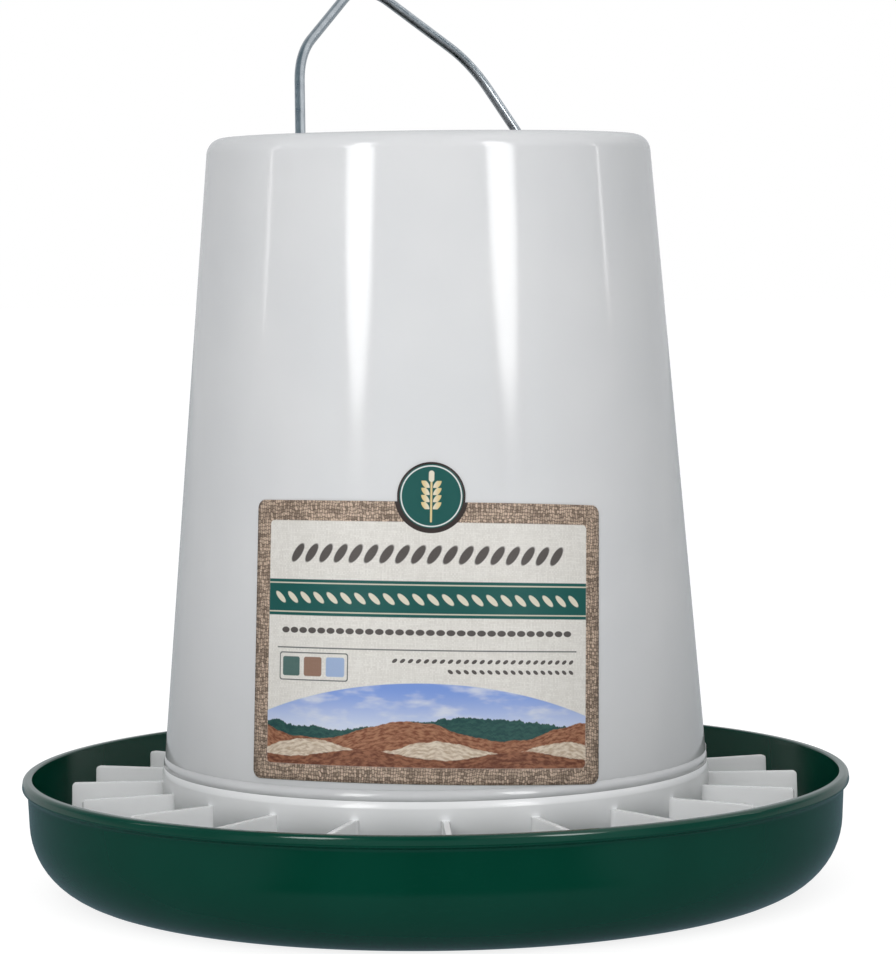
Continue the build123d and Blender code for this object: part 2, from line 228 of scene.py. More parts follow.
@dataclass
class Effects:
    """The node groups that several materials share."""

    skin: bpy.types.NodeTree = field(init=False)
    patch: bpy.types.NodeTree = field(init=False)
    weave: bpy.types.NodeTree = field(init=False)
    scuffs: bpy.types.NodeTree = field(init=False)

    def build(self) -> None:
        """Make every group once."""
        self.skin = self.moulded_skin()
        self.patch = self.print_patch()
        self.weave = self.woven_threads()
        self.scuffs = self.fine_scuffs()

    def moulded_skin(self) -> bpy.types.NodeTree:
        """The skin of a moulding: slow waves of the cooled wall, flow streaks and a fine grain.

        Relief is a weighted sum of three noises, one of them stretched along Z, and Tone is
        the slow one alone.
        """
        graph, given, leave = new_group(
            "moulded skin",
            {"Vector": VECTOR, "Waves": NUMBER, "Streaks": NUMBER, "Grain": NUMBER},
            {"Tone": NUMBER, "Relief": NUMBER},
        )
        waves = graph.noise(given["Vector"], 28.0, 1.0)
        streaks = graph.noise(graph.scaled(given["Vector"], (1.0, 1.0, 0.08)), 140.0, 2.0)
        grain = graph.noise(given["Vector"], 1400.0, 1.0)
        relief = graph.calc(Op.MULTIPLY, waves, given["Waves"])
        relief = graph.calc(Op.ADD, relief, graph.calc(Op.MULTIPLY, streaks, given["Streaks"]))
        relief = graph.calc(Op.ADD, relief, graph.calc(Op.MULTIPLY, grain, given["Grain"]))
        graph.feed(leave.inputs["Tone"], waves)
        graph.feed(leave.inputs["Relief"], relief)
        return graph.tree

    def fine_scuffs(self) -> bpy.types.NodeTree:
        """Fine rubbed marks: thin lines where a stretched noise crosses its middle value."""
        graph, given, leave = new_group(
            "fine scuffs", {"Vector": VECTOR, "Amount": NUMBER}, {"Mask": NUMBER}
        )
        lines = graph.noise(graph.scaled(given["Vector"], (1.0, 1.0, 9.0)), 60.0, 3.0, 0.6)
        off = graph.calc(Op.ABSOLUTE, graph.calc(Op.SUBTRACT, lines, 0.5))
        thin = graph.ramp(off, 0.0, 0.012, 1.0, 0.0)
        where = graph.ramp(graph.noise(given["Vector"], 22.0, 2.0), 0.48, 0.66)
        mask = graph.calc(Op.MULTIPLY, graph.calc(Op.MULTIPLY, thin, where), given["Amount"])
        graph.feed(leave.inputs["Mask"], mask)
        return graph.tree

    def print_patch(self) -> bpy.types.NodeTree:
        """A rounded rectangle: 1 inside, 0 outside, by its signed distance.

        The distance is the length of the part of |p - centre| - (half - corner) above zero,
        plus its largest coordinate where both are below zero, less the corner.
        """
        graph, given, leave = new_group(
            "print patch",
            {"Vector": VECTOR, "X": NUMBER, "Y": NUMBER, "Half X": NUMBER, "Half Y": NUMBER,
             "Corner": NUMBER, "Soft": NUMBER},
            {"Mask": NUMBER, "Distance": NUMBER},
        )
        x, y, _ = graph.split(given["Vector"])
        reach = []
        for value, centre, half in ((x, given["X"], given["Half X"]), (y, given["Y"], given["Half Y"])):
            away = graph.calc(Op.ABSOLUTE, graph.calc(Op.SUBTRACT, value, centre))
            reach.append(graph.calc(Op.SUBTRACT, away, graph.calc(Op.SUBTRACT, half, given["Corner"])))
        outside = [graph.calc(Op.MAXIMUM, one, 0.0) for one in reach]
        squares = [graph.calc(Op.MULTIPLY, one, one) for one in outside]
        length = graph.calc(Op.SQRT, graph.calc(Op.ADD, *squares))
        inside = graph.calc(Op.MINIMUM, graph.calc(Op.MAXIMUM, *reach), 0.0)
        distance = graph.calc(Op.SUBTRACT, graph.calc(Op.ADD, length, inside), given["Corner"])
        below = graph.calc(Op.MULTIPLY, given["Soft"], -1.0)
        graph.feed(leave.inputs["Mask"], graph.ramp(distance, below, given["Soft"], 1.0, 0.0))
        graph.feed(leave.inputs["Distance"], distance)
        return graph.tree

    def woven_threads(self) -> bpy.types.NodeTree:
        """A plain weave: each thread's profile is |sin(pi x / pitch)|, and the thread on top changes
        with the parity of the cell. Tone changes from thread to thread and slowly along each.
        """
        graph, given, leave = new_group(
            "woven threads",
            {"Vector": VECTOR, "Pitch X": NUMBER, "Pitch Y": NUMBER, "Uneven": NUMBER},
            {"Relief": NUMBER, "Tone": NUMBER},
        )
        x, y, _ = graph.split(given["Vector"])
        drift = graph.calc(Op.SUBTRACT, graph.noise(given["Vector"], 0.22, 2.0), 0.5)
        drift = graph.calc(Op.MULTIPLY, drift, given["Uneven"])
        across = graph.calc(Op.ADD, graph.calc(Op.DIVIDE, x, given["Pitch X"]), drift)
        along = graph.calc(Op.SUBTRACT, graph.calc(Op.DIVIDE, y, given["Pitch Y"]), drift)
        column = graph.calc(Op.FLOOR, across)
        row = graph.calc(Op.FLOOR, along)
        warp = graph.calc(Op.ABSOLUTE, graph.calc(Op.SINE, graph.calc(Op.MULTIPLY, across, np.pi)))
        weft = graph.calc(Op.ABSOLUTE, graph.calc(Op.SINE, graph.calc(Op.MULTIPLY, along, np.pi)))
        parity = graph.calc(Op.WRAP, graph.calc(Op.ADD, column, row), 2.0, 0.0)
        over = graph.calc(Op.LESS, parity, 0.5)
        under = graph.calc(Op.SUBTRACT, 1.0, over)
        top = graph.calc(
            Op.ADD, graph.calc(Op.MULTIPLY, warp, over), graph.calc(Op.MULTIPLY, weft, under)
        )
        slow_y = graph.calc(Op.MULTIPLY, y, 0.18)
        slow_x = graph.calc(Op.MULTIPLY, x, 0.18)
        warp_tone = graph.noise(graph.join(graph.calc(Op.MULTIPLY, column, 3.7), slow_y), 1.0, 1.0)
        weft_tone = graph.noise(graph.join(slow_x, graph.calc(Op.MULTIPLY, row, 3.7), 5.0), 1.0, 1.0)
        tone = graph.calc(
            Op.ADD, graph.calc(Op.MULTIPLY, warp_tone, over), graph.calc(Op.MULTIPLY, weft_tone, under)
        )
        graph.feed(leave.inputs["Relief"], top)
        graph.feed(leave.inputs["Tone"], tone)
        return graph.tree


def seen_share(graph: Graph) -> Socket:
    """1 for what the eye sees, straight on, in gloss or through glass, and 0 for light that falls."""
    path = graph.add("ShaderNodeLightPath").outputs
    seen = graph.calc(Op.MAXIMUM, path["Is Camera Ray"], path["Is Glossy Ray"])
    return graph.calc(Op.MAXIMUM, seen, path["Is Transmission Ray"])


def glossy_share(graph: Graph) -> Socket:
    """1 for what shows in gloss and 0 for the rest."""
    return graph.add("ShaderNodeLightPath").outputs["Is Glossy Ray"]


def add_bump(graph: Graph, shader: bpy.types.Node, height: Socket, distance: float) -> None:
    """Feed a height times a distance in metres into a shader's Normal."""
    bump = graph.add("ShaderNodeBump")
    bump.inputs["Distance"].default_value = distance
    graph.feed(bump.inputs["Height"], height)
    graph.feed(shader.inputs["Normal"], bump.outputs[0])


def new_material(name: str) -> tuple[bpy.types.Material, Graph, bpy.types.Node]:
    """Start a material.

    Args:
        name: the material's name.

    Returns:
        The material, its graph and its Principled shader.
    """
    material = bpy.data.materials.new(name)
    material.use_nodes = True
    graph = Graph(material.node_tree)
    return material, graph, material.node_tree.nodes["Principled BSDF"]


@dataclass(frozen=True)
class MouldedPlastic:
    """A moulded plastic with a waved skin, flow streaks and fine scuffs.

    Between the heights low and high the colour goes from a darker bottom tone to its full
    tone, a painted shade towards the bottom, and scatter is the share of light that goes
    into the plastic and comes out beside.
    """

    name: str
    deep: tuple[float, float, float]
    light: tuple[float, float, float]
    roughness: float
    gloss: float
    waves: float
    streaks: float
    grain: float
    scuff: float
    scuff_colour: tuple[float, float, float]
    scatter: float = 0.0
    low: float = 0.0
    high: float = 1.0
    shaded_bottom_tone: float = 1.0
    scatter_depth: float = 0.004
    relief: float = 0.001
    scuff_roughness: float = 0.25
    roughness_shares: tuple[float, float] = (0.9, 1.15)

    def make(self, effects: Effects) -> bpy.types.Material:
        """Build the material.

        Args:
            effects: the shared groups.

        Returns:
            The finished material.
        """
        material, graph, shader = new_material(self.name)
        place = graph.add("ShaderNodeTexCoord").outputs["Object"]
        skin = graph.place(
            effects.skin, Vector=place, Waves=self.waves, Streaks=self.streaks, Grain=self.grain
        )
        scuffs = graph.place(effects.scuffs, Vector=place, Amount=self.scuff)
        body = graph.blend(graph.ramp(skin.outputs["Tone"], 0.3, 0.7), self.deep, self.light)
        _, _, height = graph.split(place)
        # Painted shade: the colour is darkened towards the bottom, from the bottom tone at low to full
        # at high.
        painted_bottom_shade = graph.ramp(height, self.low, self.high, self.shaded_bottom_tone, 1.0)
        body = graph.scaled(body, graph.join(painted_bottom_shade, painted_bottom_shade, painted_bottom_shade))
        body = graph.blend(scuffs.outputs["Mask"], body, self.scuff_colour)
        graph.feed(shader.inputs["Base Color"], body)
        fine, coarse = (self.roughness * share for share in self.roughness_shares)
        rough = graph.ramp(skin.outputs["Tone"], 0.25, 0.75, fine, coarse)
        rubbed = graph.calc(Op.MULTIPLY, scuffs.outputs["Mask"], self.scuff_roughness)
        rough = graph.calc(Op.ADD, rough, rubbed)
        graph.feed(shader.inputs["Roughness"], rough)
        shader.inputs["Specular IOR Level"].default_value = self.gloss
        if self.scatter > 0.0:
            shader.inputs["Subsurface Weight"].default_value = self.scatter
            shader.inputs["Subsurface Radius"].default_value = (1.0, 1.0, 1.0)
            shader.inputs["Subsurface Scale"].default_value = self.scatter_depth
        add_bump(graph, shader, skin.outputs["Relief"], self.relief)
        return material


@dataclass(frozen=True)
class GalvanisedWire:
    """Drawn and galvanised steel wire with zinc mottling."""

    name: str = "galvanised wire"
    dark: tuple[float, float, float] = (0.56, 0.59, 0.62)
    bright: tuple[float, float, float] = (0.66, 0.69, 0.72)
    roughness: tuple[float, float] = (0.27, 0.32)
    mottle_scale: float = 260.0

    def make(self) -> bpy.types.Material:
        """Build the material from mottled zinc tones and a mottled roughness."""
        material, graph, shader = new_material(self.name)
        place = graph.add("ShaderNodeTexCoord").outputs["Object"]
        mottle = graph.noise(place, self.mottle_scale, 2.0, 0.5)
        zinc = graph.blend(graph.ramp(mottle, 0.35, 0.65), self.dark, self.bright)
        graph.feed(shader.inputs["Base Color"], zinc)
        graph.feed(shader.inputs["Roughness"], graph.ramp(mottle, 0.3, 0.7, *self.roughness))
        shader.inputs["Metallic"].default_value = 1.0
        return material


@dataclass(frozen=True)
class PrintedFilm:
    """The print on the film: a woven border, a linen panel, bands, grain rows and a strip of fields.

    Every size is in millimetres on the flat film, from its centre, x to the right and y up.
    The sheet is the side of the square that the film's UV map spans.
    """

    name: str = "printed film"
    sheet: float = 140.0
    panel: tuple[float, float, float, float] = (0.2, -0.7, 59.8, 43.1)
    disc: tuple[float, float, float] = (1.4, 51.55, 12.0)
    burlap_dark: tuple[float, float, float] = (0.070, 0.042, 0.028)
    burlap_light: tuple[float, float, float] = (0.620, 0.480, 0.370)
    linen_dark: tuple[float, float, float] = (0.665, 0.640, 0.595)
    linen_light: tuple[float, float, float] = (0.830, 0.810, 0.765)
    green: tuple[float, float, float] = (0.006, 0.090, 0.080)
    ink: tuple[float, float, float] = (0.035, 0.024, 0.022)
    rule: tuple[float, float, float] = (0.120, 0.130, 0.125)
    gold: tuple[float, float, float] = (0.760, 0.600, 0.300)
    cream: tuple[float, float, float] = (0.800, 0.740, 0.600)
    pale: tuple[float, float, float] = (0.75, 0.78, 0.76)
    clay: tuple[float, float, float] = (0.24, 0.11, 0.06)
    sky_blue: tuple[float, float, float] = (0.30, 0.42, 0.66)
    burlap_pitch: tuple[float, float] = (0.95, 1.25)
    linen_pitch: tuple[float, float] = (0.62, 0.70)
    uneven: float = 2.2
    panel_corner: float = 1.6
    panel_soft: float = 0.22
    band_height: float = 15.2
    band_half: float = 6.4
    stripe_inset: float = 1.3
    stripe_half: float = 0.22
    rule_height: float = -2.6
    rule_inset: float = 4.0
    swatch_centre: tuple[float, float] = (-41.0, -9.2)
    swatch_step: float = 8.7
    swatch_half: tuple[float, float] = (3.5, 3.4)
    swatch_frame: tuple[float, float] = (13.6, 5.0)
    frame_line: float = 0.4
    arch_top: float = -14.2
    arch_bend: float = 0.0031
    seed_step: float = 2.5
    roughness: tuple[float, float] = (0.38, 0.46)
    gloss: float = 0.35
    relief: float = 0.00004

    def make(self, effects: Effects) -> bpy.types.Material:
        """Build the material.

        Args:
            effects: the shared groups.

        Returns:
            The finished material.
        """
        material, graph, shader = new_material(self.name)
        uv = graph.add("ShaderNodeUVMap", uv_map="film").outputs[0]
        flat = graph.add("ShaderNodeVectorMath", operation="MULTIPLY_ADD")
        graph.feed(flat.inputs[0], uv)
        graph.feed(flat.inputs[1], (self.sheet, self.sheet, 0.0))
        graph.feed(flat.inputs[2], (-self.sheet / 2, -self.sheet / 2, 0.0))
        spot = flat.outputs[0]
        x, y, _ = graph.split(spot)

        burlap = self.cloth(graph, effects, spot, self.burlap_pitch)
        linen = self.cloth(graph, effects, spot, self.linen_pitch)
        thread = graph.ramp(burlap.outputs["Tone"], 0.32, 0.68, 0.30, 1.25)
        shade = graph.calc(Op.MULTIPLY, burlap.outputs["Relief"], thread)
        border = graph.blend(shade, self.burlap_dark, self.burlap_light)
        slub = graph.calc(Op.ADD, graph.calc(Op.MULTIPLY, linen.outputs["Relief"], 0.35),
                          graph.ramp(linen.outputs["Tone"], 0.3, 0.7, 0.1, 0.65))
        ground = graph.blend(slub, self.linen_dark, self.linen_light)

        colour = graph.blend(self.panel_mask(graph, effects, spot), border, ground)
        colour = self.header(graph, effects, spot, colour)
        colour = self.grain_rows(graph, x, y, colour)
        colour = self.swatches(graph, effects, spot, colour)
        colour = self.landscape(graph, effects, spot, colour)
        colour = self.badge(graph, effects, spot, colour)

        graph.feed(shader.inputs["Base Color"], colour)
        blot = graph.noise(spot, 0.35, 2.0)
        graph.feed(shader.inputs["Roughness"], graph.ramp(blot, 0.3, 0.7, *self.roughness))
        shader.inputs["Specular IOR Level"].default_value = self.gloss
        add_bump(graph, shader, blot, self.relief)
        return material

    def cloth(self, graph: Graph, effects: Effects, spot: Socket,
              pitch: tuple[float, float]) -> bpy.types.Node:
        """A woven ground with its threads' pitch across and up."""
        return graph.place(effects.weave, **{
            "Vector": spot, "Pitch X": pitch[0], "Pitch Y": pitch[1], "Uneven": self.uneven,
        })

    def panel_mask(self, graph: Graph, effects: Effects, spot: Socket) -> Socket:
        """The mask of the linen panel inside the woven border."""
        return self.field(graph, effects, spot, *self.panel, self.panel_corner, self.panel_soft)

    def field(self, graph: Graph, effects: Effects, spot: Socket, x: float, y: float, half_x: float,
              half_y: float, corner: float = 0.0, soft: float = 0.16) -> Socket:
        """The mask of one rounded rectangle on the film."""
        values = {"Vector": spot, "X": x, "Y": y, "Half X": half_x, "Half Y": half_y,
                  "Corner": max(corner, 0.01), "Soft": soft}
        return graph.place(effects.patch, **values).outputs["Mask"]

    def header(self, graph: Graph, effects: Effects, spot: Socket, colour: Socket) -> Socket:
        """A green band across the panel between two cream pinstripes."""
        middle, _, half, _ = self.panel
        band = self.field(graph, effects, spot, middle, self.band_height, half, self.band_half)
        colour = graph.blend(band, colour, self.green)
        for side in (-1, 1):
            line = self.band_height + side * (self.band_half - self.stripe_inset)
            stripe = self.field(graph, effects, spot, middle, line, half, self.stripe_half)
            colour = graph.blend(graph.calc(Op.MULTIPLY, stripe, 0.85), colour, self.cream)
        rule = self.field(graph, effects, spot, middle, self.rule_height, half - self.rule_inset,
                          self.stripe_half, 0.1, 0.14)
        return graph.blend(rule, colour, self.rule)

    def grain_rows(self, graph: Graph, x: Socket, y: Socket, colour: Socket) -> Socket:
        """Rows of slanted seeds: x is wrapped by the row's spacing, turned, and cut by an ellipse.

        A row is (height, left end, right end, spacing, half length, half width, slant, colour).
        """
        rows = (
            (31.0, -50.4, 50.4, 5.6, 3.9, 1.55, 0.95, self.ink),
            (15.2, -57.2, 57.2, 5.2, 2.7, 1.00, -0.75, self.cream),
            (3.6, -54.0, 54.0, 3.6, 1.55, 1.05, 0.0, self.ink),
            (-6.4, -12.0, 55.2, 2.8, 1.05, 0.60, 0.6, self.ink),
            (-10.0, 7.6, 55.2, 2.8, 1.05, 0.60, -0.6, self.ink),
        )
        for height, left, right, gap, length, width, slant, tint in rows:
            step = graph.calc(Op.WRAP, graph.calc(Op.SUBTRACT, x, left), gap, 0.0)
            dx = graph.calc(Op.SUBTRACT, step, gap / 2)
            dy = graph.calc(Op.SUBTRACT, y, height)
            seed = self.seed(graph, dx, dy, slant, length, width)
            away = graph.calc(Op.ABSOLUTE, graph.calc(Op.SUBTRACT, x, (left + right) / 2))
            seed = graph.calc(Op.MULTIPLY, seed, graph.calc(Op.LESS, away, (right - left) / 2))
            colour = graph.blend(graph.calc(Op.MULTIPLY, seed, 0.92), colour, tint)
        return colour

    def seed(self, graph: Graph, dx: Socket, dy: Socket, slant: float, length: float,
             width: float) -> Socket:
        """The mask of a slanted ellipse: the turned offsets over the half axes, squared and added."""
        cos_s, sin_s = float(np.cos(slant)), float(np.sin(slant))
        far = []
        for op, first, second, half in ((Op.ADD, dx, dy, length), (Op.SUBTRACT, dy, dx, width)):
            first, second = graph.calc(Op.MULTIPLY, first, cos_s), graph.calc(Op.MULTIPLY, second, sin_s)
            part = graph.calc(Op.DIVIDE, graph.calc(op, first, second), half)
            far.append(graph.calc(Op.MULTIPLY, part, part))
        return graph.ramp(graph.calc(Op.ADD, *far), 0.78, 1.25, 1.0, 0.0)

    def swatches(self, graph: Graph, effects: Effects, spot: Socket, colour: Socket) -> Socket:
        """Three plain swatches in a thin frame at the left."""
        middle, level = self.swatch_centre
        wide, tall = self.swatch_frame
        outer = self.field(graph, effects, spot, middle, level, wide, tall, 1.0, 0.12)
        inner = self.field(graph, effects, spot, middle, level, wide - self.frame_line,
                           tall - self.frame_line, 0.8, 0.12)
        colour = graph.blend(graph.calc(Op.SUBTRACT, outer, inner, clamp=True), colour, self.rule)
        for step, tint in ((-1, self.green), (0, self.clay), (1, self.sky_blue)):
            square = self.field(graph, effects, spot, middle + step * self.swatch_step, level,
                                *self.swatch_half, 0.8, 0.14)
            colour = graph.blend(graph.calc(Op.MULTIPLY, square, 0.9), colour, tint)
        return colour

    def landscape(self, graph: Graph, effects: Effects, spot: Socket, colour: Socket) -> Socket:
        """A strip of country under an arched edge: sky, tree line, ploughed rises and stubble.

        Each layer is filled below a height that is a base plus a sine and a noise of x. A layer
        is (base, swing, reach, phase, lump, fineness of the lumps, dark tone, light tone).
        """
        x, y, _ = graph.split(spot)
        cloud = graph.noise(graph.scaled(spot, (0.06, 0.16, 1.0)), 1.0, 3.0, 0.55)
        sky = graph.blend(graph.ramp(y, -36.0, -15.0), (0.72, 0.78, 0.90), (0.20, 0.33, 0.74))
        sky = graph.blend(graph.ramp(cloud, 0.45, 0.72, 0.0, 0.75), sky, (0.78, 0.80, 0.86))
        layers = (
            (-28.5, 2.2, 16.0, 0.4, 5.0, 0.30, (0.012, 0.060, 0.060), (0.030, 0.100, 0.085)),
            (-31.0, 3.4, 11.0, 2.1, 3.0, 0.12, (0.190, 0.060, 0.030), (0.420, 0.200, 0.110)),
            (-36.5, 2.0, 7.5, 0.9, 2.4, 0.16, (0.520, 0.400, 0.290), (0.780, 0.680, 0.560)),
            (-39.4, 1.6, 9.0, 4.0, 2.0, 0.20, (0.130, 0.040, 0.022), (0.330, 0.140, 0.075)),
        )
        picture = sky
        for base, swing, reach, phase, lump, fine, dark, light in layers:
            wave = graph.calc(Op.SINE, graph.calc(Op.ADD, graph.calc(Op.DIVIDE, x, reach), phase))
            rough = graph.noise(graph.join(x, base), fine, 4.0, 0.6)
            edge = graph.calc(Op.ADD, graph.calc(Op.MULTIPLY, wave, swing), base - lump / 2)
            edge = graph.calc(Op.ADD, edge, graph.calc(Op.MULTIPLY, rough, lump))
            below = graph.calc(Op.SUBTRACT, edge, y)
            clods = graph.join(
                graph.calc(Op.MULTIPLY, x, 0.5), graph.calc(Op.MULTIPLY, below, 1.4), base
            )
            tint = graph.noise(clods, 0.9, 3.0)
            fill = graph.blend(graph.ramp(tint, 0.32, 0.68), dark, light)
            picture = graph.blend(graph.ramp(below, -0.2, 0.2), picture, fill)
        bend = graph.calc(Op.MULTIPLY, graph.calc(Op.MULTIPLY, x, x), self.arch_bend)
        arch = graph.calc(Op.SUBTRACT, self.arch_top, bend)
        under = graph.ramp(graph.calc(Op.SUBTRACT, arch, y), -0.16, 0.16)
        inside = self.panel_mask(graph, effects, spot)
        return graph.blend(graph.calc(Op.MULTIPLY, under, inside), colour, picture)

    def badge(self, graph: Graph, effects: Effects, spot: Socket, colour: Socket) -> Socket:
        """The round tab: a dark edge, a green field, a thin pale ring and an ear of grain.

        The ear is two columns of slanted seeds beside a stem: |x| is taken first, so that the
        right column's formula gives both, and y is wrapped by the seeds' spacing.
        """
        cx, cy, radius = self.disc
        edge, fill, outer, inner = (
            self.field(graph, effects, spot, cx, cy, *[radius + more] * 3, soft)
            for more, soft in ((1.0, 0.1), (-0.75, 0.14), (-1.15, 0.12), (-1.60, 0.12))
        )
        colour = graph.blend(edge, colour, self.ink)
        colour = graph.blend(fill, colour, self.green)
        colour = graph.blend(graph.calc(Op.SUBTRACT, outer, inner, clamp=True), colour, self.pale)
        x, y, _ = graph.split(spot)
        side = graph.calc(Op.ABSOLUTE, graph.calc(Op.SUBTRACT, x, cx))
        rise = graph.calc(Op.SUBTRACT, y, cy)
        stem = self.field(graph, effects, spot, cx, cy - 2.0, 0.34, 7.2, 0.3, 0.14)
        colour = graph.blend(stem, colour, self.gold)
        step = graph.calc(Op.WRAP, graph.calc(Op.SUBTRACT, rise, -4.6), self.seed_step, 0.0)
        step = graph.calc(Op.SUBTRACT, step, self.seed_step / 2)
        out = graph.calc(Op.SUBTRACT, side, 2.05)
        seeds = self.seed(graph, out, step, 0.9, 2.0, 0.95)
        away = graph.calc(Op.ABSOLUTE, graph.calc(Op.SUBTRACT, rise, 0.4))
        seeds = graph.calc(Op.MULTIPLY, seeds, graph.calc(Op.LESS, away, 5.0))
        tip = self.field(graph, effects, spot, cx, cy + 7.0, 0.95, 2.0, 0.94, 0.16)
        seeds = graph.calc(Op.MAXIMUM, seeds, tip)
        tint = graph.blend(graph.ramp(side, 0.6, 3.0), self.cream, self.gold)
        return graph.blend(seeds, colour, tint)


@dataclass
class Studio:
    """The camera, the pale ground and room, two soft boxes, two thin strips and two lamps.

    Gloss sees its own surroundings: each mirrored tone is what shows there in one direction,
    and the pairs beside them say where the tone starts and where it is full, in directions
    of length 1 for the room and in metres from the axis for the floor.
    """

    frame_width: int = 896
    frame_height: int = 954
    focal_pixels: float = 3533.0
    sensor_width: float = 36.0
    clip_end: float = 50.0
    stand_back: float = 1.330
    eye_height: float = 0.2443
    pitch: float = radians(3.85)
    roll: float = 0.0114
    yaw: float = radians(0.256)
    box_distance: float = 2.0
    box_turns: tuple[float, float] = (radians(-34.2), radians(36.2))
    box_width: float = 0.49
    box_low: float = 0.402
    box_high: float = 1.9
    box_strength: float = 8.0
    strip_turns: tuple[float, float] = (radians(-86.0), radians(95.0))
    strip_width: float = 0.05
    panel_margin: float = 0.05
    edge_softness: float = 0.02
    strip_strength: float = 5.5
    lamp_turn: float = radians(18.0)
    lamp_size: float = 1.2
    lamp_rise: float = 0.5
    lamp_aim: float = 0.15
    lamp_watts: tuple[float, float] = (14.8, 8.2)
    light: tuple[float, float] = (0.228, 0.715)
    light_heights: tuple[float, float] = (0.20, 0.95)
    floor_reach: float = 12.0
    floor_drop: float = 0.0002
    floor_tones: tuple[float, float] = (0.795, 0.805)
    floor_seen: float = 0.45
    floor_glow: float = 0.845
    near_floor: tuple[float, float] = (0.185, 0.215)
    far_floor: tuple[float, float] = (0.37, 0.47)
    front_floor: tuple[float, float] = (-0.92, -0.80)
    front_depths: tuple[float, float] = (-0.62, -0.46)
    horizon_heights: tuple[float, float] = (0.12, 0.22)
    back_depths: tuple[float, float] = (0.25, 1.0)
    high_across: tuple[float, float] = (0.05, 0.30)
    high_heights: tuple[float, float] = (0.25, 0.50)
    mirrored_side: tuple[float, float, float] = (0.120, 0.175, 0.205)
    mirrored_front: tuple[float, float, float] = (0.010, 0.010, 0.010)
    mirrored_horizon: tuple[float, float, float] = (0.260, 0.380, 0.400)
    mirrored_back: tuple[float, float, float] = (0.580, 0.600, 0.620)
    mirrored_high: tuple[float, float, float] = (0.700, 0.730, 0.750)
    mirrored_far: tuple[float, float, float] = (0.420, 0.450, 0.470)

    def build(self, effects: Effects) -> None:
        """Set up the camera, the room, the ground and the lamps."""
        self.camera()
        self.room()
        self.ground()
        kinds = (
            ("soft_box", self.box_turns, self.box_width, self.box_strength),
            ("strip", self.strip_turns, self.strip_width, self.strip_strength),
        )
        for kind, turns, width, strength in kinds:
            for side, turn in zip(Side, turns):
                self.soft_box(f"{kind}_{side.name.lower()}", turn, width, strength, effects)
        for side, watts in zip(Side, self.lamp_watts):
            self.lamp(side, watts)
        bpy.context.scene.view_settings.view_transform = "Standard"

    def camera(self) -> None:
        """A long lens before the film, a little below the hopper's mouth, looking slightly down."""
        data = bpy.data.cameras.new("camera")
        data.sensor_width = self.sensor_width
        data.lens = self.focal_pixels / max(self.frame_width, self.frame_height) * data.sensor_width
        data.clip_end = self.clip_end
        camera = bpy.data.objects.new("camera", data)
        bpy.context.collection.objects.link(camera)
        camera.matrix_world = (
            Matrix.Translation((0.0, -self.stand_back, self.eye_height))
            @ Matrix.Rotation(-self.yaw, 4, "Z")
            @ Matrix.Rotation(radians(90.0) - self.pitch, 4, "X")
            @ Matrix.Rotation(-self.roll, 4, "Z")
        )
        bpy.context.scene.camera = camera

    def room(self) -> None:
        """A white room to the eye, darker behind the camera in gloss, lit from above."""
        world = bpy.data.worlds.new("room")
        bpy.context.scene.world = world
        world.use_nodes = True
        world.node_tree.nodes.clear()
        graph = Graph(world.node_tree)
        across, depth, height = graph.split(graph.add("ShaderNodeTexCoord").outputs["Generated"])
        front = graph.ramp(depth, *self.front_depths, 1.0, 0.0)
        over = graph.ramp(height, *self.horizon_heights)
        ahead = graph.blend(over, self.mirrored_horizon, self.mirrored_front)
        mirrored = graph.blend(front, self.mirrored_side, ahead)
        mirrored = graph.blend(graph.ramp(depth, *self.back_depths), mirrored, self.mirrored_back)
        raised = graph.calc(
            Op.MULTIPLY, graph.ramp(across, *self.high_across), graph.ramp(height, *self.high_heights)
        )
        mirrored = graph.blend(raised, mirrored, self.mirrored_high)
        backdrop = graph.blend(glossy_share(graph), (1.0, 1.0, 1.0), mirrored)
        falling = graph.ramp(height, *self.light_heights, *self.light)
        falling = graph.join(falling, falling, falling)
        background = graph.add("ShaderNodeBackground")
        graph.feed(background.inputs["Color"], graph.blend(seen_share(graph), falling, backdrop))
        output = graph.add("ShaderNodeOutputWorld")
        graph.feed(output.inputs["Surface"], background.outputs[0])

    def ground(self) -> None:
        """A wide pale floor that shows white and keeps the feeder's shadow."""
        corners = np.array([[-1, -1, 0], [1, -1, 0], [1, 1, 0], [-1, 1, 0]], float) * self.floor_reach
        corners[:, 2] = -self.floor_drop
        floor = mesh_object("floor", corners, np.array([[0, 1, 2, 3]]))
        material, graph, shader = new_material("pale floor")
        material.node_tree.nodes.remove(shader)
        place = graph.add("ShaderNodeTexCoord").outputs["Object"]
        seen, glossy = seen_share(graph), glossy_share(graph)
        tone = graph.ramp(graph.noise(place, 3.0, 2.0), 0.3, 0.7, *self.floor_tones)
        tone = graph.calc(Op.MULTIPLY, tone, graph.ramp(seen, 0.0, 1.0, 1.0, self.floor_seen))
        tone = graph.calc(Op.MULTIPLY, tone, graph.calc(Op.SUBTRACT, 1.0, glossy))
        across, depth, _ = graph.split(place)
        squares = [graph.calc(Op.MULTIPLY, one, one) for one in (across, depth)]
        far = graph.calc(Op.SQRT, graph.calc(Op.ADD, *squares))
        ahead = graph.ramp(graph.calc(Op.DIVIDE, depth, far), *self.front_floor, 1.0, 0.0)
        front = graph.calc(Op.MULTIPLY, ahead, graph.ramp(far, *self.near_floor))
        mirrored = graph.blend(front, self.mirrored_side, self.mirrored_front)
        mirrored = graph.blend(graph.ramp(far, *self.far_floor), mirrored, self.mirrored_far)
        shown = graph.blend(glossy, (self.floor_glow,) * 3, mirrored)
        diffuse = graph.add("ShaderNodeBsdfDiffuse")
        graph.feed(diffuse.inputs["Color"], graph.join(tone, tone, tone))
        glow = graph.add("ShaderNodeEmission")
        graph.feed(glow.inputs["Color"], shown)
        graph.feed(glow.inputs["Strength"], seen)
        both = graph.add("ShaderNodeAddShader")
        graph.feed(both.inputs[0], diffuse.outputs[0])
